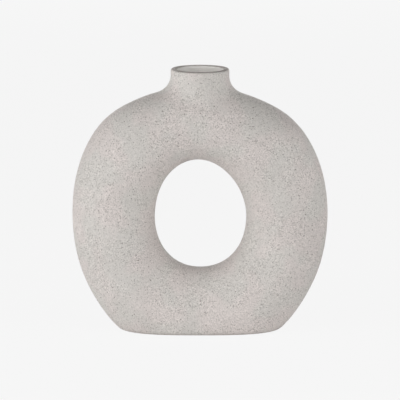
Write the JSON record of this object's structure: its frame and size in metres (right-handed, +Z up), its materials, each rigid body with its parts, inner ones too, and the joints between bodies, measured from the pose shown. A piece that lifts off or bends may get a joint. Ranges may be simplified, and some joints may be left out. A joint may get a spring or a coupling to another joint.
{
  "type": "donut vase",
  "caption": "Upright ring-shaped ceramic vase with an oval hole through it, a short flared neck with a rounded lip, a hollow body that holds water, and a flat oval foot.",
  "frame": {"origin": "on the ground under the middle of the ring, at the centre of the foot", "axes": "+X to the right across the ring as the picture shows it, +Y away from the viewer through the hole, +Z up the neck"},
  "size_m": [0.2414, 0.072, 0.25],
  "materials": {
    "stoneware": "matt, warm light grey, finely speckled",
    "slip": "matt fired slip of the same clay",
    "liner_glaze": "thin satin liner glaze"
  },
  "bodies": {
    "root": {"front_shell": "stoneware", "rear_shell": "stoneware", "side_seam_slip": "slip", "hole_seam_slip": "slip", "neck_collar": "stoneware", "neck_joint_slip": "slip", "foot_slab": "stoneware", "foot_joint_slip": "slip", "glaze_lining": "liner_glaze"}
  },
  "joints": []
}
